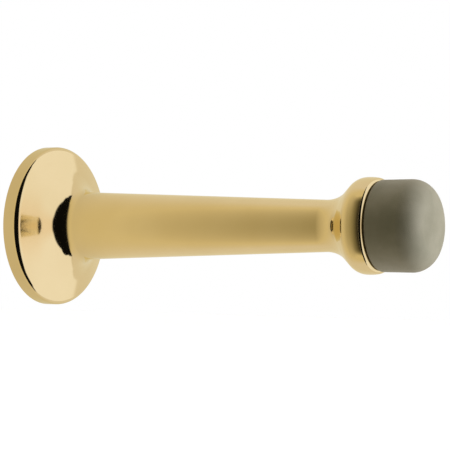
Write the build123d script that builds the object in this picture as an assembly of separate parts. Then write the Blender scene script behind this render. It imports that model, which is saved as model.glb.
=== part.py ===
from build123d import *
from math import cos, radians, sin, tan
import os

# Wall door bumper. A brass post, turned in one piece from base to cup, carries a moulded rubber
# bumper whose plug sits in the cup and whose ribbed stem grips a blind hole behind it. The post
# screws onto a stud that stands out of the wall, so no fixing shows.
# Millimetres and degrees. X runs along the axis, from the wall at 0 out into the room. Z is up.

# Whole object
projection = 101.6

# Base
base_diameter = 38.1
base_rim_height = 2.6
base_edge_radius = 1.83
base_face_angle = 69.3
base_back_chamfer = 0.15
foot_sweep_radius = 13.3
foot_sweep_angle = 52.5
foot_sweep_land = 0.1
foot_fillet_radius = 5.9

# Back of the base
wall_land_width = 4.0
wall_relief_depth = 0.8
wall_relief_draft = 20.0

# Tapped hole for the wall stud, a quarter inch screw with 20 threads to the inch
stud_thread_diameter = 6.35
stud_thread_depth = 15.9
stud_thread_countersink = 0.7

# Shaft
shaft_root_diameter = 16.92
shaft_taper = 1.97

# Cup
cup_diameter = 21.82
neck_radius = 8.55
flare_angle = 43.3
shoulder_radius = 3.6
band_land = 0.02
band_rise = 5.0
band_crown_radius = 10.0
band_fall = 10.0
rim_land = 0.1
rim_radius = 0.9
lip_width = 0.4
lip_inner_chamfer = 0.15
recess_depth = 4.0

# Blind hole in the cup for the stem
socket_depth = 13.0
socket_chamfer = 0.5
drill_point_angle = 118.0

# Rubber bumper
bumper_length = 12.8
bumper_diameter = 20.35
bumper_draft = 0.41
bumper_edge_radius = 5.0
bumper_crown_height = 1.2
bumper_back_chamfer = 0.5
bumper_gap = 0.15
plug_clearance = 0.15
plug_chamfer = 0.5
stem_diameter = 5.0
stem_length = 11.5
stem_tip_chamfer = 0.8
rib_height = 0.5
rib_land = 0.4
rib_ramp = 1.4
rib_pitch = 3.4
rib_count = 2
rib_clearance = 0.05

# Stations along the axis
lip_station = projection - bumper_length
recess_station = lip_station - recess_depth
head_station = lip_station + bumper_gap

# Radii about the axis
base_radius = base_diameter / 2
cup_radius = cup_diameter / 2
stud_thread_radius = stud_thread_diameter / 2
stem_radius = stem_diameter / 2
rib_radius = stem_radius + rib_height
socket_radius = rib_radius + rib_clearance


def meet(point_a, angle_a, point_b, angle_b):
    """Return the point where two lines cross, each given by a point and its angle to the axis."""
    along_a = Vector(cos(radians(angle_a)), sin(radians(angle_a)))
    along_b = Vector(cos(radians(angle_b)), sin(radians(angle_b)))
    gap = Vector(*point_b) - Vector(*point_a)
    turn = along_a.X * along_b.Y - along_a.Y * along_b.X
    reach = (gap.X * along_b.Y - gap.Y * along_b.X) / turn
    return point_a[0] + along_a.X * reach, point_a[1] + along_a.Y * reach


def turned(points, rounding):
    """Turn a half section about the axis.

    The points run from axis to axis. Rounding gives the radius of each corner that has one, and
    the other corners are sharp.
    """
    radii = [rounding.get(point, 0) for point in points[1:-1]]
    with BuildPart() as solid:
        with BuildSketch():
            with BuildLine():
                FilletPolyline(*points, radius=radii)
                Line(points[-1], points[0])
            make_face()
        revolve(axis=Axis.X)
    return solid.part


def setback(radius, turn):
    """Return how far from a corner its rounding starts, where the outline turns by this angle."""
    return radius * tan(radians(turn / 2))


# Base, before its corners are rounded. Its face runs into the shaft by a wide arc and then a
# tighter one, and the wide one's corner stands off the shaft by just enough for both.
edge_corner = (base_rim_height + setback(base_edge_radius, base_face_angle), base_radius)
shaft_root = (0.0, shaft_root_diameter / 2)
foot_turn = foot_sweep_angle - shaft_taper
sweep_turn = base_face_angle - foot_sweep_angle
sweep_reach = (
    setback(foot_sweep_radius, sweep_turn) + foot_sweep_land + setback(foot_fillet_radius, foot_turn)
)
sweep_rise = sweep_reach * sin(radians(foot_turn)) / cos(radians(shaft_taper))
above_root = (0.0, shaft_root[1] + sweep_rise)
sweep_corner = meet(edge_corner, -base_face_angle, above_root, -shaft_taper)
foot_corner = meet(sweep_corner, -foot_sweep_angle, shaft_root, -shaft_taper)

# Cup, before its corners are rounded. The flare ends in a shoulder, a gently crowned band follows,
# and a rounded rim turns in to the lip.
crown_setback = setback(band_crown_radius, band_rise + band_fall)
rim_reach = crown_setback + rim_land + setback(rim_radius, 90 - band_fall)
band_reach = setback(shoulder_radius, flare_angle - band_rise) + band_land + crown_setback
crown_corner = (lip_station - rim_reach * cos(radians(band_fall)), cup_radius)
rim_corner = (lip_station, cup_radius - rim_reach * sin(radians(band_fall)))
shoulder_corner = (
    crown_corner[0] - band_reach * cos(radians(band_rise)),
    crown_corner[1] - band_reach * sin(radians(band_rise)),
)
neck_corner = meet(shaft_root, -shaft_taper, shoulder_corner, flare_angle)
recess_radius = rim_corner[1] - rim_radius - lip_width


def drill_cone(radius):
    """Return the length of the cone that a drill of this radius leaves at the end of its hole."""
    return radius / tan(radians(drill_point_angle / 2))


def post_blank():
    """Turn the post's outside: domed base, tapering shaft and ogee cup with a rounded rim."""
    outline = (
        (0.0, 0.0),
        (0.0, base_radius - base_back_chamfer),
        (base_back_chamfer, base_radius),
        edge_corner,
        sweep_corner,
        foot_corner,
        neck_corner,
        shoulder_corner,
        crown_corner,
        rim_corner,
        (lip_station, 0.0),
    )
    rounding = {
        edge_corner: base_edge_radius,
        sweep_corner: foot_sweep_radius,
        foot_corner: foot_fillet_radius,
        neck_corner: neck_radius,
        shoulder_corner: shoulder_radius,
        crown_corner: band_crown_radius,
        rim_corner: rim_radius,
    }
    return turned(outline, rounding)


def wall_relief():
    """Turn the shallow hollow in the base's back, which leaves a land that sits on the wall."""
    mouth_radius = base_radius - wall_land_width
    floor_radius = mouth_radius - wall_relief_depth * tan(radians(wall_relief_draft))
    section = (
        (0.0, 0.0),
        (0.0, mouth_radius),
        (wall_relief_depth, floor_radius),
        (wall_relief_depth, 0.0),
    )
    return turned(section, {})


def stud_hole():
    """Turn the tapped hole, with a countersunk mouth in the relief and a drilled end."""
    hole_end = wall_relief_depth + stud_thread_depth
    section = (
        (wall_relief_depth, 0.0),
        (wall_relief_depth, stud_thread_radius + stud_thread_countersink),
        (wall_relief_depth + stud_thread_countersink, stud_thread_radius),
        (hole_end, stud_thread_radius),
        (hole_end + drill_cone(stud_thread_radius), 0.0),
    )
    return turned(section, {})


def cup_recess():
    """Turn the recess for the plug and, behind it, the blind hole for the stem."""
    socket_end = recess_station - socket_depth
    section = (
        (lip_station, 0.0),
        (lip_station, recess_radius + lip_inner_chamfer),
        (lip_station - lip_inner_chamfer, recess_radius),
        (recess_station, recess_radius),
        (recess_station, socket_radius + socket_chamfer),
        (recess_station - socket_chamfer, socket_radius),
        (socket_end, socket_radius),
        (socket_end - drill_cone(socket_radius), 0.0),
    )
    return turned(section, {})


def brass_post():
    """Bore the turned blank at both ends."""
    return post_blank() - wall_relief() - stud_hole() - cup_recess()


def stem_outline():
    """List the stem's corners from its tip to the plug: a chamfered end, then barbed ribs."""
    stem_end = recess_station - stem_length
    corners = [
        (stem_end, 0.0),
        (stem_end, stem_radius - stem_tip_chamfer),
        (stem_end + stem_tip_chamfer, stem_radius),
    ]
    for rib in range(rib_count):
        rib_start = stem_end + stem_tip_chamfer + rib_land + rib * rib_pitch
        rib_top = rib_start + rib_ramp
        corners += [
            (rib_start, stem_radius),
            (rib_top, rib_radius),
            (rib_top + rib_land, rib_radius),
            (rib_top + rib_land, stem_radius),
        ]
    return corners


def rubber_bumper():
    """Mould the bumper: crowned head with a full round edge, seating plug and ribbed stem."""
    plug_radius = recess_radius - plug_clearance
    head_radius = bumper_diameter / 2
    side_end = projection - bumper_crown_height
    front_radius = head_radius + (side_end - head_station) * tan(radians(bumper_draft))
    back = stem_outline() + [
        (recess_station, stem_radius),
        (recess_station, plug_radius - plug_chamfer),
        (recess_station + plug_chamfer, plug_radius),
        (head_station, plug_radius),
        (head_station, head_radius - bumper_back_chamfer),
        (head_station + bumper_back_chamfer, head_radius + bumper_back_chamfer * tan(radians(bumper_draft))),
        (side_end, front_radius),
    ]
    tip = (projection, 0.0)
    crown_radius = (front_radius**2 + bumper_crown_height**2) / (2 * bumper_crown_height)
    with BuildPart() as solid:
        with BuildSketch() as section:
            with BuildLine():
                Polyline(*back)
                RadiusArc(back[-1], tip, crown_radius)
                Line(tip, back[0])
            make_face()
            front_corner = section.vertices().sort_by(Axis.Y)[-1]
            fillet(front_corner, bumper_edge_radius)
        revolve(axis=Axis.X)
    return solid.part


os.makedirs("parts", exist_ok=True)
export_step(brass_post(), "parts/brass_post.step")
export_step(rubber_bumper(), "parts/rubber_bumper.step")
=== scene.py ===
"""Looks of a rigid wall door bumper: a polished brass post with a rubber bumper in its cup."""

import logging
import math
from dataclasses import dataclass
from enum import Enum

import bpy
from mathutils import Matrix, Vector


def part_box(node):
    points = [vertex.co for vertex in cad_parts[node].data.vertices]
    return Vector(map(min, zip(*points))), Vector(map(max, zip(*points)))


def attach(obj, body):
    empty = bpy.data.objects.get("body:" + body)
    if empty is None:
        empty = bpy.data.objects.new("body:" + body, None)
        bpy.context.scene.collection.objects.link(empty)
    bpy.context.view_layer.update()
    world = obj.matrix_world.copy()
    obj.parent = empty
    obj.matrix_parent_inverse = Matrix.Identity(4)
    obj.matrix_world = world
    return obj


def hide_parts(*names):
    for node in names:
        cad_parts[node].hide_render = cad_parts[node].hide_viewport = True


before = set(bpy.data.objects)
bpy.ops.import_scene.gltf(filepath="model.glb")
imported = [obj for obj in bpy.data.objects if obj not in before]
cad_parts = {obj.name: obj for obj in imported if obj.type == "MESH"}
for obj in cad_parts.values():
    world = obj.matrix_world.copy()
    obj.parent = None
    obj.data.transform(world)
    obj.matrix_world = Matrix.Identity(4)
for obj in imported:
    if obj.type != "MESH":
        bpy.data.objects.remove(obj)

log = logging.getLogger("door_bumper")

Point = tuple[float, float]
Span = tuple[float, float]
Place = tuple[float, float, float]
Colour = tuple[float, float, float]
Socket = bpy.types.NodeSocket

MM = 0.001
BODY = "root"
WHITE: Colour = (1.0, 1.0, 1.0)
QUARTER_TURN = math.pi / 2
RIGHT_ANGLE = 90.0


class Node(Enum):
    """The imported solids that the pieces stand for."""

    POST = "brass_post"
    BUMPER = "rubber_bumper"


class Slot(Enum):
    """The record's material slots."""

    BRASS = "polished_brass"
    RUBBER = "grey_rubber"


def opaque(colour: Colour) -> tuple[float, float, float, float]:
    """Return a colour with full opacity."""
    return (*colour, 1.0)


def deselect_all() -> None:
    """Clear the selection, so that an operator acts on the new piece alone."""
    bpy.ops.object.select_all(action="DESELECT")


# Outlines and turning


@dataclass(frozen=True)
class Corner:
    """One corner of a half outline: its place along the axis, its radius about it and its rounding."""

    station: float
    radius: float
    rounding: float = 0.0

    @property
    def point(self) -> Point:
        """The corner as a point of the outline's plane."""
        return (self.station, self.radius)


def meet(point_a: Point, angle_a: float, point_b: Point, angle_b: float) -> Point:
    """Cross two lines of the outline's plane.

    Args:
        point_a: A point on the first line.
        angle_a: The first line's angle to the axis, in degrees.
        point_b: A point on the second line.
        angle_b: The second line's angle to the axis, in degrees.

    Returns:
        The point where the two lines cross.
    """
    along_a = Vector((math.cos(math.radians(angle_a)), math.sin(math.radians(angle_a))))
    along_b = Vector((math.cos(math.radians(angle_b)), math.sin(math.radians(angle_b))))
    gap = Vector(point_b) - Vector(point_a)
    reach = gap.cross(along_b) / along_a.cross(along_b)
    crossing = Vector(point_a) + along_a * reach
    return (crossing.x, crossing.y)


def setback(radius: float, turn: float) -> float:
    """Return how far from a corner its rounding starts, where the outline turns by this angle."""
    return radius * math.tan(math.radians(turn / 2))


class Lathe:
    """Draws a half outline in edit mode, vertex by vertex, and spins it about the X axis."""

    SEED_SIZE = 1.0 * MM
    ARC_STEP = math.radians(2.0)
    ROUND_STEPS = 288
    WELD = 0.0001 * MM
    FEWEST_ARC_STEPS = 2

    def __init__(self, name: str, start: Point) -> None:
        """Begin an outline.

        Args:
            name: The piece's name.
            start: The outline's first point, as station and radius.
        """
        deselect_all()
        bpy.ops.mesh.primitive_plane_add(size=self.SEED_SIZE, location=(*start, 0.0))
        self.piece = bpy.context.active_object
        self.piece.name = name
        bpy.ops.object.transform_apply(location=True, rotation=True, scale=True)
        bpy.ops.object.mode_set(mode="EDIT")
        bpy.ops.mesh.select_all(action="SELECT")
        bpy.ops.mesh.merge(type="CENTER")
        self.here = Vector(start)

    def run_to(self, end: Point) -> None:
        """Extrude the last vertex in a straight run to a point."""
        move = Vector(end) - self.here
        bpy.ops.mesh.extrude_region_move(TRANSFORM_OT_translate={"value": (move.x, move.y, 0.0)})
        self.here = Vector(end)

    def arc_to(self, centre: Point, end: Point) -> None:
        """Spin the last vertex about a centre, the short way round.

        Args:
            centre: The arc's centre.
            end: The arc's end, on the same circle.
        """
        spoke = self.here - Vector(centre)
        last_spoke = Vector(end) - Vector(centre)
        sweep = math.atan2(spoke.cross(last_spoke), spoke.dot(last_spoke))
        steps = max(self.FEWEST_ARC_STEPS, math.ceil(abs(sweep) / self.ARC_STEP))
        bpy.ops.mesh.spin(steps=steps, angle=-sweep, center=(*centre, 0.0), axis=(0.0, 0.0, 1.0))
        self.here = Vector(end)

    def follow(self, corners: list[Corner]) -> None:
        """Draw straight runs through corners, each rounded by an arc where it has a rounding.

        Args:
            corners: The corners after the outline's start. The last one is its end, and is sharp.
        """
        for corner, after in zip(corners, corners[1:]):
            if corner.rounding == 0.0:
                self.run_to(corner.point)
                continue
            turn = Vector(corner.point)
            back = (self.here - turn).normalized()
            ahead = (Vector(after.point) - turn).normalized()
            half_angle = back.angle(ahead) / 2
            reach = corner.rounding / math.tan(half_angle)
            to_centre = (back + ahead).normalized() * (corner.rounding / math.sin(half_angle))
            self.run_to(tuple(turn + back * reach))
            self.arc_to(tuple(turn + to_centre), tuple(turn + ahead * reach))
        self.run_to(corners[-1].point)

    def turn(self, sharp_angle: float) -> bpy.types.Object:
        """Spin the outline into a closed body and shade it.

        Args:
            sharp_angle: Edges that fold by more than this, in degrees, stay sharp.

        Returns:
            The finished piece, at the origin.
        """
        bpy.ops.mesh.select_all(action="SELECT")
        bpy.ops.mesh.spin(
            steps=self.ROUND_STEPS,
            angle=math.tau,
            center=(0.0, 0.0, 0.0),
            axis=(1.0, 0.0, 0.0),
        )
        bpy.ops.mesh.select_all(action="SELECT")
        bpy.ops.mesh.remove_doubles(threshold=self.WELD)
        bpy.ops.mesh.normals_make_consistent(inside=False)
        bpy.ops.object.mode_set(mode="OBJECT")
        bpy.ops.object.shade_smooth_by_angle(angle=math.radians(sharp_angle))
        return self.piece


# Shader nodes


class NodeSheet:
    """Places and links the nodes of one tree."""

    def __init__(self, tree: bpy.types.NodeTree) -> None:
        """Take over an empty tree."""
        self.tree = tree

    def add(self, kind: str, **settings: object) -> bpy.types.Node:
        """Place a node.

        Args:
            kind: The node's type name.
            settings: The node's own properties and their values.

        Returns:
            The new node.
        """
        node = self.tree.nodes.new(kind)
        for name, value in settings.items():
            setattr(node, name, value)
        return node

    def feed(self, target: Socket, source: Socket | float | Colour | Point) -> None:
        """Link a socket into an input, or set the input's own value."""
        if isinstance(source, bpy.types.NodeSocket):
            self.tree.links.new(source, target)
        else:
            target.default_value = source

    def maths(self, operation: str, *values: Socket | float) -> Socket:
        """Place a Math node on these values and return its result."""
        node = self.add("ShaderNodeMath", operation=operation)
        for target, value in zip(node.inputs, values):
            self.feed(target, value)
        return node.outputs["Value"]

    def vectors(self, operation: str, *values: Socket | Colour) -> bpy.types.Node:
        """Place a Vector Math node on these vectors and return the node."""
        node = self.add("ShaderNodeVectorMath", operation=operation)
        for target, value in zip(node.inputs, values):
            self.feed(target, value)
        return node

    def ramp(self, value: Socket, low: Socket | float, high: Socket | float) -> Socket:
        """Map a value from a range to 0..1, easing in and out.

        Args:
            value: What is mapped.
            low: The value that becomes 0.
            high: The value that becomes 1.

        Returns:
            The mapped value.
        """
        node = self.add("ShaderNodeMapRange", interpolation_type="SMOOTHSTEP")
        self.feed(node.inputs["Value"], value)
        self.feed(node.inputs["From Min"], low)
        self.feed(node.inputs["From Max"], high)
        return node.outputs["Result"]

    def blend(self, share: Socket | float, first: Socket | Colour, second: Socket | Colour) -> Socket:
        """Mix two colours by a share and return the colour."""
        node = self.add("ShaderNodeMix", data_type="RGBA")
        self.feed(node.inputs["Factor"], share)
        for name, colour in (("A", first), ("B", second)):
            target = next(s for s in node.inputs if s.name == name and s.type == "RGBA")
            self.feed(target, colour if isinstance(colour, bpy.types.NodeSocket) else opaque(colour))
        return next(s for s in node.outputs if s.type == "RGBA")

    def between(self, share: Socket, low: float, high: float) -> Socket:
        """Return a value that goes from low to high with a share."""
        return self.maths("MULTIPLY_ADD", share, high - low, low)


class SharedGroup:
    """A shader node group that more than one finish uses."""

    NAME = ""
    INPUTS: tuple[str, ...] = ()
    OUTPUT = "Mask"

    @classmethod
    def place(cls, sheet: NodeSheet, **values: float) -> Socket:
        """Place the group in a material, making it on first use.

        Args:
            sheet: The material's nodes.
            values: The group's inputs.

        Returns:
            The group's output.
        """
        tree = bpy.data.node_groups.get(cls.NAME) or cls.make()
        node = sheet.add("ShaderNodeGroup", node_tree=tree)
        for name, value in values.items():
            sheet.feed(node.inputs[name], value)
        return node.outputs[cls.OUTPUT]

    @classmethod
    def make(cls) -> bpy.types.NodeTree:
        """Build the group's tree with its named sockets and return it."""
        tree = bpy.data.node_groups.new(cls.NAME, "ShaderNodeTree")
        for name in cls.INPUTS:
            tree.interface.new_socket(name, in_out="INPUT", socket_type="NodeSocketFloat")
        tree.interface.new_socket(cls.OUTPUT, in_out="OUTPUT", socket_type="NodeSocketFloat")
        sheet = NodeSheet(tree)
        inputs = sheet.add("NodeGroupInput").outputs
        result = cls.fill(sheet, inputs)
        sheet.feed(sheet.add("NodeGroupOutput").inputs[cls.OUTPUT], result)
        return tree

    @classmethod
    def fill(cls, sheet: NodeSheet, inputs: bpy.types.NodeInputs) -> Socket:
        """Lay out the group's nodes and return its result."""
        raise NotImplementedError


class Drift(SharedGroup):
    """Soft clouds, for slow changes of colour, gloss and level."""

    NAME = "drift"
    INPUTS = ("Size", "Contrast")
    DETAIL = 3.0
    MIDDLE = 0.5

    @classmethod
    def fill(cls, sheet: NodeSheet, inputs: bpy.types.NodeInputs) -> Socket:
        """Lay out noise of the given size, stretched about its middle by the contrast."""
        place = sheet.add("ShaderNodeTexCoord").outputs["Object"]
        scaled = sheet.vectors("SCALE", place)
        sheet.feed(scaled.inputs["Scale"], sheet.maths("DIVIDE", 1.0, inputs["Size"]))
        noise = sheet.add("ShaderNodeTexNoise", noise_dimensions="3D")
        sheet.feed(noise.inputs["Vector"], scaled.outputs["Vector"])
        sheet.feed(noise.inputs["Scale"], 1.0)
        sheet.feed(noise.inputs["Detail"], cls.DETAIL)
        half_width = sheet.maths("DIVIDE", cls.MIDDLE, inputs["Contrast"])
        low = sheet.maths("SUBTRACT", cls.MIDDLE, half_width)
        high = sheet.maths("ADD", cls.MIDDLE, half_width)
        return sheet.ramp(noise.outputs["Fac"], low, high)


class TurnedRings(SharedGroup):
    """Rings about the X axis, as a tool or a polishing belt leaves them on turned work."""

    NAME = "turned_rings"
    INPUTS = ("Width",)
    OUTPUT = "Height"
    DETAIL = 2.0

    @classmethod
    def fill(cls, sheet: NodeSheet, inputs: bpy.types.NodeInputs) -> Socket:
        """Lay out noise that changes with the station and the radius, and not round the axis."""
        place = sheet.add("ShaderNodeTexCoord").outputs["Object"]
        station = sheet.add("ShaderNodeSeparateXYZ")
        sheet.feed(station.inputs["Vector"], place)
        spoke = sheet.vectors("MULTIPLY", place, (0.0, 1.0, 1.0)).outputs["Vector"]
        radius = sheet.vectors("LENGTH", spoke).outputs["Value"]
        section = sheet.add("ShaderNodeCombineXYZ")
        sheet.feed(section.inputs["X"], sheet.maths("DIVIDE", station.outputs["X"], inputs["Width"]))
        sheet.feed(section.inputs["Y"], sheet.maths("DIVIDE", radius, inputs["Width"]))
        noise = sheet.add("ShaderNodeTexNoise", noise_dimensions="2D")
        sheet.feed(noise.inputs["Vector"], section.outputs["Vector"])
        sheet.feed(noise.inputs["Scale"], 1.0)
        sheet.feed(noise.inputs["Detail"], cls.DETAIL)
        return noise.outputs["Fac"]


# Finishes


def new_material(name: str) -> tuple[bpy.types.Material, NodeSheet, bpy.types.Node]:
    """Make a material with an empty sheet.

    Args:
        name: The material's name.

    Returns:
        The material, its nodes and its Principled BSDF, which is linked to the output.
    """
    material = bpy.data.materials.new(name)
    material.use_nodes = True
    material.node_tree.nodes.clear()
    sheet = NodeSheet(material.node_tree)
    shader = sheet.add("ShaderNodeBsdfPrincipled")
    output = sheet.add("ShaderNodeOutputMaterial")
    sheet.feed(output.inputs["Surface"], shader.outputs["BSDF"])
    return material, sheet, shader


@dataclass(frozen=True)
class PolishedBrass:
    """Yellow brass, polished and clear lacquered."""

    pale: Colour = (0.83, 0.68, 0.40)
    deep: Colour = (0.79, 0.64, 0.36)
    edge: Colour = (1.0, 1.0, 0.86)
    cloud_size: float = 14 * MM
    cloud_contrast: float = 2.0
    gloss_size: float = 5 * MM
    gloss_contrast: float = 1.6
    smooth: float = 0.08
    dull: float = 0.11
    lacquer: float = 0.1
    lacquer_roughness: float = 0.05
    polish_width: float = 0.25 * MM
    polish_depth: float = 0.0003 * MM
    ripple_size: float = 6 * MM
    ripple_contrast: float = 1.0
    ripple_depth: float = 0.002 * MM

    def make(self) -> bpy.types.Material:
        """Build the material and return it."""
        material, sheet, shader = new_material("polished_brass")
        clouds = Drift.place(sheet, Size=self.cloud_size, Contrast=self.cloud_contrast)
        gloss = Drift.place(sheet, Size=self.gloss_size, Contrast=self.gloss_contrast)
        sheet.feed(shader.inputs["Base Color"], sheet.blend(clouds, self.pale, self.deep))
        sheet.feed(shader.inputs["Roughness"], sheet.between(gloss, self.smooth, self.dull))
        sheet.feed(shader.inputs["Metallic"], 1.0)
        sheet.feed(shader.inputs["Specular Tint"], opaque(self.edge))
        sheet.feed(shader.inputs["Coat Weight"], self.lacquer)
        sheet.feed(shader.inputs["Coat Roughness"], self.lacquer_roughness)
        ripple = Drift.place(sheet, Size=self.ripple_size, Contrast=self.ripple_contrast)
        lines = TurnedRings.place(sheet, Width=self.polish_width)
        height = sheet.maths("MULTIPLY", ripple, self.ripple_depth)
        height = sheet.maths("MULTIPLY_ADD", lines, self.polish_depth, height)
        bump = sheet.add("ShaderNodeBump")
        sheet.feed(bump.inputs["Distance"], 1.0)
        sheet.feed(bump.inputs["Height"], height)
        sheet.feed(shader.inputs["Normal"], bump.outputs["Normal"])
        return material


@dataclass(frozen=True)
class TurnedBrass:
    """Bare brass as the turning tool leaves it, on the back and in the bores."""

    pale: Colour = (0.76, 0.57, 0.27)
    deep: Colour = (0.60, 0.42, 0.18)
    cloud_size: float = 9 * MM
    cloud_contrast: float = 1.8
    smooth: float = 0.24
    dull: float = 0.42
    feed_width: float = 0.35 * MM
    feed_depth: float = 0.02 * MM

    def make(self) -> bpy.types.Material:
        """Build the material and return it."""
        material, sheet, shader = new_material("turned_brass")
        clouds = Drift.place(sheet, Size=self.cloud_size, Contrast=self.cloud_contrast)
        rings = TurnedRings.place(sheet, Width=self.feed_width)
        sheet.feed(shader.inputs["Base Color"], sheet.blend(clouds, self.pale, self.deep))
        sheet.feed(shader.inputs["Roughness"], sheet.between(rings, self.smooth, self.dull))
        sheet.feed(shader.inputs["Metallic"], 1.0)
        bump = sheet.add("ShaderNodeBump")
        sheet.feed(bump.inputs["Distance"], 1.0)
        sheet.feed(bump.inputs["Height"], sheet.maths("MULTIPLY", rings, self.feed_depth))
        sheet.feed(shader.inputs["Normal"], bump.outputs["Normal"])
        return material


@dataclass(frozen=True)
class GreyRubber:
    """Moulded rubber, matt, with a fine grain and a faint pale bloom."""

    body: Colour = (0.204, 0.200, 0.144)
    bloom: Colour = (0.264, 0.254, 0.192)
    cloud_size: float = 6 * MM
    cloud_contrast: float = 1.8
    grain_size: float = 0.16 * MM
    grain_contrast: float = 1.2
    grain_depth: float = 0.02 * MM
    smooth: float = 0.42
    dull: float = 0.58

    def make(self) -> bpy.types.Material:
        """Build the material and return it."""
        material, sheet, shader = new_material("grey_rubber")
        clouds = Drift.place(sheet, Size=self.cloud_size, Contrast=self.cloud_contrast)
        grain = Drift.place(sheet, Size=self.grain_size, Contrast=self.grain_contrast)
        sheet.feed(shader.inputs["Base Color"], sheet.blend(clouds, self.body, self.bloom))
        sheet.feed(shader.inputs["Roughness"], sheet.between(grain, self.smooth, self.dull))
        bump = sheet.add("ShaderNodeBump")
        sheet.feed(bump.inputs["Distance"], 1.0)
        sheet.feed(bump.inputs["Height"], sheet.maths("MULTIPLY", grain, self.grain_depth))
        sheet.feed(shader.inputs["Normal"], bump.outputs["Normal"])
        return material


# Pieces


@dataclass
class BrassPost:
    """The turned post: base, tapering shaft and cup, with its bores."""

    base_radius: float
    lip_station: float
    rim_height: float = 2.6 * MM
    edge_radius: float = 1.83 * MM
    face_angle: float = 69.3
    back_chamfer: float = 0.15 * MM
    sweep_radius: float = 13.3 * MM
    sweep_angle: float = 52.5
    sweep_land: float = 0.1 * MM
    foot_radius: float = 5.9 * MM
    land_width: float = 4.0 * MM
    relief_depth: float = 0.8 * MM
    relief_draft: float = 20.0
    relief_rounding: float = 0.2 * MM
    broken_edge: float = 0.05 * MM
    stud_radius: float = 3.175 * MM
    stud_depth: float = 15.9 * MM
    stud_countersink: float = 0.7 * MM
    shaft_root_radius: float = 8.46 * MM
    shaft_taper: float = 1.97
    cup_radius: float = 10.91 * MM
    neck_radius: float = 8.55 * MM
    flare_angle: float = 43.3
    shoulder_radius: float = 3.6 * MM
    band_land: float = 0.02 * MM
    band_rise: float = 5.0
    band_crown_radius: float = 10.0 * MM
    band_fall: float = 10.0
    rim_land: float = 0.1 * MM
    rim_radius: float = 0.9 * MM
    lip_width: float = 0.4 * MM
    lip_chamfer: float = 0.15 * MM
    recess_depth: float = 4.0 * MM
    recess_rounding: float = 0.2 * MM
    socket_radius: float = 3.05 * MM
    socket_depth: float = 13.0 * MM
    socket_chamfer: float = 0.5 * MM
    drill_point_angle: float = 118.0
    sharp_angle: float = 12.0
    backward: float = -0.5
    sideways: float = 0.01

    def drill_cone(self, radius: float) -> float:
        """Return the length of the cone that a drill of this radius leaves."""
        return radius / math.tan(math.radians(self.drill_point_angle / 2))

    def back_corners(self) -> list[Corner]:
        """Return the corners from the stud hole's end to the outside of the base."""
        relief_mouth = self.base_radius - self.land_width
        relief_floor = relief_mouth - self.relief_depth * math.tan(math.radians(self.relief_draft))
        return [
            Corner(self.relief_depth + self.stud_depth, self.stud_radius),
            Corner(self.relief_depth + self.stud_countersink, self.stud_radius),
            Corner(self.relief_depth, self.stud_radius + self.stud_countersink),
            Corner(self.relief_depth, relief_floor, self.relief_rounding),
            Corner(0.0, relief_mouth, self.broken_edge),
            Corner(0.0, self.base_radius - self.back_chamfer, self.broken_edge),
            Corner(self.back_chamfer, self.base_radius, self.broken_edge),
        ]

    def base_corners(self) -> list[Corner]:
        """Return the corners of the base's outside, from its edge to the foot of the shaft."""
        edge = (self.rim_height + setback(self.edge_radius, self.face_angle), self.base_radius)
        root = (0.0, self.shaft_root_radius)
        foot_turn = self.sweep_angle - self.shaft_taper
        sweep_setback = setback(self.sweep_radius, self.face_angle - self.sweep_angle)
        reach = sweep_setback + self.sweep_land + setback(self.foot_radius, foot_turn)
        rise = reach * math.sin(math.radians(foot_turn)) / math.cos(math.radians(self.shaft_taper))
        above_root = (0.0, self.shaft_root_radius + rise)
        sweep = meet(edge, -self.face_angle, above_root, -self.shaft_taper)
        foot = meet(sweep, -self.sweep_angle, root, -self.shaft_taper)
        return [
            Corner(*edge, self.edge_radius),
            Corner(*sweep, self.sweep_radius),
            Corner(*foot, self.foot_radius),
        ]

    def cup_corners(self) -> list[Corner]:
        """Return the corners of the cup's outside, from the neck to the rim."""
        rise = math.radians(self.band_rise)
        fall = math.radians(self.band_fall)
        crown_setback = setback(self.band_crown_radius, self.band_rise + self.band_fall)
        shoulder_setback = setback(self.shoulder_radius, self.flare_angle - self.band_rise)
        rim_setback = setback(self.rim_radius, RIGHT_ANGLE - self.band_fall)
        rim_reach = crown_setback + self.rim_land + rim_setback
        band_reach = shoulder_setback + self.band_land + crown_setback
        crown_station = self.lip_station - rim_reach * math.cos(fall)
        rim = (self.lip_station, self.cup_radius - rim_reach * math.sin(fall))
        shoulder = (
            crown_station - band_reach * math.cos(rise),
            self.cup_radius - band_reach * math.sin(rise),
        )
        root = (0.0, self.shaft_root_radius)
        neck = meet(root, -self.shaft_taper, shoulder, self.flare_angle)
        return [
            Corner(*neck, self.neck_radius),
            Corner(*shoulder, self.shoulder_radius),
            Corner(crown_station, self.cup_radius, self.band_crown_radius),
            Corner(*rim, self.rim_radius),
        ]

    def recess_radius(self) -> float:
        """Return the radius of the recess that the plug sits in."""
        return self.cup_corners()[-1].radius - self.rim_radius - self.lip_width

    def bore_corners(self) -> list[Corner]:
        """Return the corners of the cup's inside, from the lip to the end of the stem's hole."""
        recess_radius = self.recess_radius()
        recess_station = self.lip_station - self.recess_depth
        socket_end = recess_station - self.socket_depth
        return [
            Corner(self.lip_station, recess_radius + self.lip_chamfer),
            Corner(self.lip_station - self.lip_chamfer, recess_radius),
            Corner(recess_station, recess_radius, self.recess_rounding),
            Corner(recess_station, self.socket_radius + self.socket_chamfer),
            Corner(recess_station - self.socket_chamfer, self.socket_radius),
            Corner(socket_end, self.socket_radius),
            Corner(socket_end - self.drill_cone(self.socket_radius), 0.0),
        ]

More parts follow.
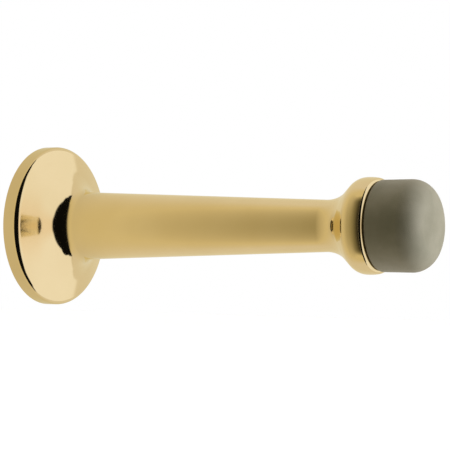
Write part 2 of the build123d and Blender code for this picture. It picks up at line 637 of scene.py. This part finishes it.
    def build(self) -> bpy.types.Object:
        """Turn the post and return it."""
        stud_end = self.relief_depth + self.stud_depth + self.drill_cone(self.stud_radius)
        outside = self.base_corners() + self.cup_corners()
        lathe = Lathe("turned_post", (stud_end, 0.0))
        lathe.follow(self.back_corners() + outside + self.bore_corners())
        return lathe.turn(self.sharp_angle)

    def dress(self, piece: bpy.types.Object) -> None:
        """Give the outside its polish and leave the back and the bores as turned.

        Args:
            piece: The turned post.
        """
        piece.data.materials.append(PolishedBrass().make())
        piece.data.materials.append(TurnedBrass().make())
        recess_radius = self.recess_radius()
        for face in piece.data.polygons:
            spoke = Vector((0.0, face.center.y, face.center.z))
            on_back = face.center.x < self.rim_height and face.normal.x < self.backward
            faces_in = face.normal.dot(spoke.normalized()) < self.sideways
            in_bore = faces_in and spoke.length < recess_radius
            face.material_index = int(on_back or in_bore)


@dataclass
class StudThread:
    """The thread in the stud's hole: a ridge wound on the bore's wall."""

    wall_radius: float = 3.175 * MM
    crest_radius: float = 2.52 * MM
    sink: float = 0.06 * MM
    pitch: float = 1.27 * MM
    root_width: float = 1.11 * MM
    crest_width: float = 0.3 * MM
    first_station: float = 2.2 * MM
    turns: int = 10
    steps: int = 48
    section_corners: int = 4
    sharp_angle: float = 30.0

    def build(self) -> bpy.types.Object:
        """Wind the ridge and return it."""
        foot_radius = self.wall_radius + self.sink
        height = foot_radius - self.crest_radius
        middle = (foot_radius + self.crest_radius) / 2
        deselect_all()
        bpy.ops.mesh.primitive_plane_add(size=1.0, location=(self.first_station, middle, 0.0))
        piece = bpy.context.active_object
        piece.name = "stud_thread"
        piece.scale = (self.root_width, height, 1.0)
        bpy.ops.object.transform_apply(location=True, rotation=True, scale=True)
        bpy.ops.object.mode_set(mode="EDIT")
        bpy.ops.mesh.select_mode(type="VERT")
        bpy.ops.mesh.select_all(action="SELECT")
        bpy.ops.mesh.delete(type="ONLY_FACE")
        bpy.ops.mesh.select_all(action="DESELECT")
        bpy.ops.object.mode_set(mode="OBJECT")
        for vertex in piece.data.vertices:
            vertex.select = vertex.co.y < middle
        bpy.ops.object.mode_set(mode="EDIT")
        bpy.ops.transform.resize(
            value=(self.crest_width / self.root_width, 1.0, 1.0),
            center_override=(self.first_station, self.crest_radius, 0.0),
        )
        bpy.ops.object.mode_set(mode="OBJECT")
        winding = piece.modifiers.new("winding", "SCREW")
        winding.axis = "X"
        winding.angle = math.tau
        winding.screw_offset = self.pitch
        winding.iterations = self.turns
        winding.steps = self.steps
        winding.render_steps = self.steps
        winding.use_merge_vertices = False
        bpy.ops.object.modifier_apply(modifier=winding.name)
        bpy.ops.object.mode_set(mode="EDIT")
        bpy.ops.mesh.select_all(action="SELECT")
        bpy.ops.mesh.remove_doubles(threshold=Lathe.WELD)
        bpy.ops.mesh.fill_holes(sides=self.section_corners)
        bpy.ops.mesh.select_all(action="SELECT")
        bpy.ops.mesh.normals_make_consistent(inside=False)
        bpy.ops.object.mode_set(mode="OBJECT")
        bpy.ops.object.shade_smooth_by_angle(angle=math.radians(self.sharp_angle))
        return piece

    def dress(self, piece: bpy.types.Object) -> None:
        """Leave the thread as turned."""
        piece.data.materials.append(bpy.data.materials["turned_brass"])


@dataclass
class RubberBumper:
    """The moulded bumper: crowned head, seating plug and ribbed stem."""

    tip_station: float
    stem_end: float
    lip_station: float
    head_radius: float = 10.175 * MM
    draft: float = 0.41
    edge_radius: float = 5.0 * MM
    crown_height: float = 1.2 * MM
    back_radius: float = 0.55 * MM
    gap: float = 0.15 * MM
    recess_depth: float = 4.0 * MM
    plug_radius: float = 9.083 * MM
    plug_chamfer: float = 0.5 * MM
    stem_radius: float = 2.5 * MM
    tip_chamfer: float = 0.8 * MM
    rib_height: float = 0.5 * MM
    rib_land: float = 0.4 * MM
    rib_ramp: float = 1.4 * MM
    rib_pitch: float = 3.4 * MM
    rib_count: int = 2
    sharp_angle: float = 12.0

    def stem_corners(self) -> list[Corner]:
        """Return the stem's corners from its tip to the plug: a chamfered end, then barbed ribs."""
        shoulder = self.stem_end + self.tip_chamfer
        corners = [
            Corner(self.stem_end, self.stem_radius - self.tip_chamfer),
            Corner(shoulder, self.stem_radius),
        ]
        for rib in range(self.rib_count):
            rib_start = shoulder + self.rib_land + rib * self.rib_pitch
            rib_top = rib_start + self.rib_ramp
            corners += [
                Corner(rib_start, self.stem_radius),
                Corner(rib_top, self.stem_radius + self.rib_height),
                Corner(rib_top + self.rib_land, self.stem_radius + self.rib_height),
                Corner(rib_top + self.rib_land, self.stem_radius),
            ]
        return corners

    def build(self) -> bpy.types.Object:
        """Turn the bumper's form and return it."""
        recess_station = self.lip_station - self.recess_depth
        head_station = self.lip_station + self.gap
        slope = math.tan(math.radians(self.draft))
        side_end = self.tip_station - self.crown_height
        front_radius = self.head_radius + (side_end - head_station) * slope
        crown_radius = (front_radius**2 + self.crown_height**2) / (2 * self.crown_height)
        crown_centre = Vector((self.tip_station - crown_radius, 0.0))

        side = Vector((1.0, slope)).normalized()
        outward = Vector((-side.y, side.x))
        inset_start = Vector((head_station, self.head_radius)) - outward * self.edge_radius
        spoke = inset_start - crown_centre
        along = spoke.dot(side)
        reach = (crown_radius - self.edge_radius) ** 2 - spoke.length_squared + along**2
        edge_centre = inset_start + side * (math.sqrt(reach) - along)
        edge_start = edge_centre + outward * self.edge_radius
        crown_start = crown_centre + (edge_centre - crown_centre).normalized() * crown_radius

        lathe = Lathe("moulded_bumper", (self.stem_end, 0.0))
        lathe.follow(
            self.stem_corners()
            + [
                Corner(recess_station, self.stem_radius),
                Corner(recess_station, self.plug_radius - self.plug_chamfer),
                Corner(recess_station + self.plug_chamfer, self.plug_radius),
                Corner(head_station, self.plug_radius),
                Corner(head_station, self.head_radius, self.back_radius),
                Corner(*edge_start),
            ]
        )
        lathe.arc_to(tuple(edge_centre), tuple(crown_start))
        lathe.arc_to(tuple(crown_centre), (self.tip_station, 0.0))
        return lathe.turn(self.sharp_angle)

    def dress(self, piece: bpy.types.Object) -> None:
        """Give the bumper its rubber."""
        piece.data.materials.append(GreyRubber().make())


# Studio


@dataclass
class View:
    """The camera, level with the axis and turned towards the tip."""

    aim_station: float = 49.14 * MM
    aim_height: float = 0.2 * MM
    tilt: float = 29.46
    distance: float = 434.9 * MM
    lens: float = 150.8

    def build(self) -> None:
        """Set the camera up."""
        turn = math.radians(self.tilt)
        place = (
            self.aim_station + self.distance * math.sin(turn),
            -self.distance * math.cos(turn),
            self.aim_height,
        )
        bpy.ops.object.camera_add(location=place, rotation=(QUARTER_TURN, 0.0, turn))
        camera = bpy.context.active_object
        camera.name = "camera"
        camera.data.lens = self.lens
        bpy.context.scene.camera = camera


@dataclass
class Floor:
    """A pale floor well below the object, which takes its shadow and shows as white."""

    drop: float = 130 * MM
    size: float = 4000 * MM
    colour: Colour = (0.88, 0.89, 0.95)
    roughness: float = 0.9
    lift: float = 0.5

    def build(self) -> None:
        """Lay the floor."""
        deselect_all()
        bpy.ops.mesh.primitive_plane_add(size=self.size, location=(0.0, 0.0, -self.drop))
        floor = bpy.context.active_object
        floor.name = "floor"
        floor.visible_glossy = False
        floor.visible_diffuse = False
        floor.visible_shadow = False
        material, sheet, shader = new_material("floor_paper")
        sheet.feed(shader.inputs["Base Color"], opaque(self.colour))
        sheet.feed(shader.inputs["Roughness"], self.roughness)
        seen = sheet.add("ShaderNodeLightPath").outputs["Is Camera Ray"]
        sheet.feed(shader.inputs["Emission Color"], opaque(WHITE))
        sheet.feed(shader.inputs["Emission Strength"], sheet.maths("MULTIPLY", seen, self.lift))
        floor.data.materials.append(material)


@dataclass
class LightTent:
    """A white tent round the object, with a dark opening towards the camera, over a pale table.

    Edges are angles in the XY plane, in degrees from +X towards the camera. Turns are ranges of a
    direction's own X, Y or Z part, over which one light goes over into another.
    """

    low_light: Colour = (0.98, 0.875, 0.775)
    high_light: Colour = (1.02, 1.0, 1.0)
    height_turn: Span = (0.05, 0.4)
    cap_turn: Span = (0.972, 0.99)
    near_table_light: Colour = (0.42, 0.37, 0.24)
    far_table_light: Colour = (0.81, 0.75, 0.66)
    table_turn: Span = (-0.8, 0.6)
    table_near_edge: float = 90.5
    table_far_edge: float = -74.0
    table_blur: float = 1.5
    opening_light: Colour = (0.004, 0.004, 0.004)
    opening_edge: float = 23.7
    opening_blur: float = 4.0
    opening_lean: float = 0.03
    opening_waist: float = 3.0
    waist_turn: Span = (0.12, 0.3)
    opening_flare: float = 40.0
    flare_turn: Span = (0.82, 1.02)

    def far_edge_of_opening(self, sheet: NodeSheet, height: Socket) -> Socket:
        """Return the angle of the opening's far edge, which narrows above the middle and then flares.

        Args:
            sheet: The world's nodes.
            height: The direction's Z part.

        Returns:
            The angle in degrees.
        """
        rise = sheet.maths("ABSOLUTE", sheet.maths("SUBTRACT", height, self.opening_lean))
        waist = sheet.ramp(rise, *self.waist_turn)
        flare = sheet.ramp(rise, *self.flare_turn)
        edge = sheet.maths("MULTIPLY_ADD", waist, self.opening_waist, self.opening_edge)
        return sheet.maths("MULTIPLY_ADD", flare, -self.opening_flare, edge)

    def light(self, sheet: NodeSheet) -> Socket:
        """Lay out the light that comes from each direction and return its colour."""
        look = sheet.add("ShaderNodeTexCoord").outputs["Generated"]
        part = sheet.add("ShaderNodeSeparateXYZ")
        sheet.feed(part.inputs["Vector"], look)
        towards_camera = sheet.maths("MULTIPLY", part.outputs["Y"], -1.0)
        angle = sheet.maths("ARCTAN2", towards_camera, part.outputs["X"])
        angle = sheet.maths("DEGREES", angle)

        def past(edge: Socket | float, blur: float) -> Socket:
            """Return a step from 0 to 1 at an angle, eased over a blur to each side, in degrees."""
            return sheet.ramp(sheet.maths("SUBTRACT", angle, edge), -blur, blur)

        past_near_edge = past(self.table_near_edge, self.table_blur)
        past_far_edge = past(self.table_far_edge, self.table_blur)
        past_opening = past(self.far_edge_of_opening(sheet, part.outputs["Z"]), self.opening_blur)
        opening = sheet.maths("SUBTRACT", past_opening, past_near_edge)
        above_table = sheet.maths("SUBTRACT", past_far_edge, past_near_edge)
        far_side = sheet.ramp(part.outputs["Y"], *self.table_turn)
        table = sheet.blend(far_side, self.near_table_light, self.far_table_light)
        rise = sheet.maths("ABSOLUTE", part.outputs["Z"])
        tent = sheet.blend(sheet.ramp(rise, *self.height_turn), self.low_light, self.high_light)
        tent = sheet.blend(opening, tent, self.opening_light)
        tent = sheet.blend(above_table, table, tent)
        return sheet.blend(sheet.ramp(rise, *self.cap_turn), tent, self.opening_light)

    def build(self) -> None:
        """Light the object from the tent, and show the camera plain white."""
        world = bpy.data.worlds.new("studio")
        world.use_nodes = True
        world.node_tree.nodes.clear()
        sheet = NodeSheet(world.node_tree)
        seen = sheet.add("ShaderNodeLightPath").outputs["Is Camera Ray"]
        background = sheet.add("ShaderNodeBackground")
        sheet.feed(background.inputs["Color"], sheet.blend(seen, self.light(sheet), WHITE))
        output = sheet.add("ShaderNodeOutputWorld")
        sheet.feed(output.inputs["Surface"], background.outputs["Background"])
        bpy.context.scene.world = world


@dataclass
class PaintedReflectionCard:
    """A pale card in the wall's plane, round the base, that glows for the brass to reflect: a painted
    reflection of a lit table, not a lamp.

    Its glow fades away from the base on the camera's side, in a narrow band near the object and in a
    wide one further out; this fade is painted light falloff. Next to the base the glow is dimmed,
    which is a painted contact shadow.
    """

    radius: float = 2000 * MM
    hole: float = 19.5 * MM
    sides: int = 96
    front: Colour = (0.75, 0.645, 0.35)
    near: Colour = (0.76, 0.66, 0.425)
    far: Colour = (0.81, 0.75, 0.66)
    front_turn: Span = (-260 * MM, -50 * MM)
    far_turn: Span = (-45 * MM, 45 * MM)
    even_reach: float = 45 * MM
    fade_reach: float = 222 * MM
    narrow_power: float = 0.8
    wide_turn: Span = (0.25, 0.6)
    widening: Span = (165 * MM, 290 * MM)
    # Painted contact shadow: how far the glow is dimmed next to the base, and how far out that
    # reaches.
    contact_shade: float = 0.89
    contact_reach: float = 40 * MM

    def level(self, sheet: NodeSheet, side: Socket, radius: Socket) -> Socket:
        """Lay out the card's glow strength: painted light that fades away from the base, dimmed next
        to it by a painted contact shadow.

        Args:
            sheet: The card's nodes.
            side: The Y part of the place on the card.
            radius: That place's distance from the axis.

        Returns:
            The brightness, from 0 to 1.
        """
        # Painted light falloff: the glow fades away from the base on the camera's side, narrowly near
        # the object and widely further out.
        towards_camera = sheet.maths("DIVIDE", side, sheet.maths("MULTIPLY", radius, -1.0))
        towards_camera = sheet.maths("MAXIMUM", towards_camera, 0.0)
        narrow = sheet.maths("POWER", towards_camera, self.narrow_power)
        wide = sheet.ramp(towards_camera, *self.wide_turn)
        extra = sheet.maths("SUBTRACT", wide, narrow)
        share = sheet.maths("MULTIPLY_ADD", extra, sheet.ramp(radius, *self.widening), narrow)
        reach = sheet.maths("MULTIPLY_ADD", share, radius, -self.even_reach)
        reach = sheet.maths("MAXIMUM", reach, 0.0)
        level = sheet.maths("EXPONENT", sheet.maths("DIVIDE", reach, -self.fade_reach))
        # Painted contact shadow: the glow drops to contact_shade next to the base and recovers by
        # contact_reach.
        clear = sheet.ramp(radius, self.hole, self.contact_reach)
        return sheet.maths("MULTIPLY", level, sheet.between(clear, self.contact_shade, 1.0))

    def make_painted_glow(self) -> bpy.types.Material:
        """Build the card's glowing material, a painted reflection, and return it."""
        material = bpy.data.materials.new("painted_reflection_glow")
        material.use_nodes = True
        material.node_tree.nodes.clear()
        sheet = NodeSheet(material.node_tree)
        spot = sheet.add("ShaderNodeTexCoord").outputs["Object"]
        part = sheet.add("ShaderNodeSeparateXYZ")
        sheet.feed(part.inputs["Vector"], spot)
        side = part.outputs["Y"]
        radius = sheet.vectors("LENGTH", spot).outputs["Value"]
        tint = sheet.blend(sheet.ramp(side, *self.front_turn), self.front, self.near)
        tint = sheet.blend(sheet.ramp(side, *self.far_turn), tint, self.far)
        # The glow is a painted reflection of a lit table. Only glossy rays see it, and it lights
        # nothing.
        glow = sheet.add("ShaderNodeEmission")
        sheet.feed(glow.inputs["Color"], tint)
        sheet.feed(glow.inputs["Strength"], self.level(sheet, side, radius))
        output = sheet.add("ShaderNodeOutputMaterial")
        sheet.feed(output.inputs["Surface"], glow.outputs["Emission"])
        return material

    def build(self) -> None:
        """Stand the card up, glowing for painted reflections alone."""
        deselect_all()
        bpy.ops.mesh.primitive_circle_add(
            vertices=self.sides,
            radius=self.radius,
            fill_type="NGON",
            rotation=(0.0, QUARTER_TURN, 0.0),
        )
        painted_reflection_card = bpy.context.active_object
        painted_reflection_card.name = "painted_reflection_card"
        bpy.ops.object.transform_apply(location=True, rotation=True, scale=True)
        bpy.ops.object.mode_set(mode="EDIT")
        bpy.ops.mesh.select_all(action="SELECT")
        bpy.ops.mesh.inset(thickness=self.radius - self.hole)
        bpy.ops.mesh.delete(type="FACE")
        bpy.ops.object.mode_set(mode="OBJECT")
        painted_reflection_card.visible_camera = False
        painted_reflection_card.visible_diffuse = False
        painted_reflection_card.visible_shadow = False
        painted_reflection_card.visible_transmission = False
        painted_reflection_card.data.materials.append(self.make_painted_glow())


@dataclass
class SoftLamp:
    """A soft lamp that lights the rubber and that the brass doesn't reflect."""

    place: Place
    power: float
    colour: Colour = WHITE
    size: float = 300 * MM

    def build(self) -> None:
        """Hang the lamp, pointed at the origin."""
        aim = -Vector(self.place)
        turn = aim.to_track_quat("-Z", "Y").to_euler()
        bpy.ops.object.light_add(type="AREA", location=self.place, rotation=turn)
        lamp = bpy.context.active_object
        lamp.name = "soft_lamp"
        lamp.data.size = self.size
        lamp.data.energy = self.power
        lamp.data.color = self.colour
        lamp.visible_glossy = False


@dataclass
class Studio:
    """The camera, the floor and the light round the object."""

    end_place: Place = (480 * MM, 160 * MM, 0.0)
    end_power: float = 1.7
    upper_place: Place = (100 * MM, 0.0, 500 * MM)
    lower_place: Place = (100 * MM, 0.0, -500 * MM)
    side_power: float = 0.6
    side_colour: Colour = (1.0, 0.85, 0.7)

    def build(self) -> None:
        """Set up the whole studio."""
        View().build()
        Floor().build()
        LightTent().build()
        # A glowing card that the brass reflects: a painted reflection, with painted falloff and a
        # painted contact shadow.
        PaintedReflectionCard().build()
        SoftLamp(self.end_place, self.end_power).build()
        SoftLamp(self.upper_place, self.side_power, self.side_colour).build()
        SoftLamp(self.lower_place, self.side_power, self.side_colour).build()
        bpy.context.scene.view_settings.view_transform = "Standard"


def seat(piece: bpy.types.Object, slot: Slot, node: Node | None = None) -> None:
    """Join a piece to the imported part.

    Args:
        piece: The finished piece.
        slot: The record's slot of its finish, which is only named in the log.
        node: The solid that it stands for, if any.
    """
    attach(piece, BODY)
    if node is not None:
        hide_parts(node.value)
    log.info("%s: %d faces, finish %s", piece.name, len(piece.data.polygons), slot.value)


def main() -> None:
    """Build the pieces in order, dress them and set up the studio."""
    logging.basicConfig(level=logging.INFO, format="%(name)s %(message)s")
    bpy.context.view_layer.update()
    _, post_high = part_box(Node.POST.value)
    bumper_low, bumper_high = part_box(Node.BUMPER.value)

    post = BrassPost(base_radius=post_high.z, lip_station=post_high.x)
    turned_post = post.build()
    post.dress(turned_post)
    seat(turned_post, Slot.BRASS, Node.POST)

    thread = StudThread()
    stud_thread = thread.build()
    thread.dress(stud_thread)
    seat(stud_thread, Slot.BRASS)

    bumper = RubberBumper(bumper_high.x, bumper_low.x, post_high.x)
    moulded_bumper = bumper.build()
    bumper.dress(moulded_bumper)
    seat(moulded_bumper, Slot.RUBBER, Node.BUMPER)

    Studio().build()


if __name__ == "__main__":
    main()
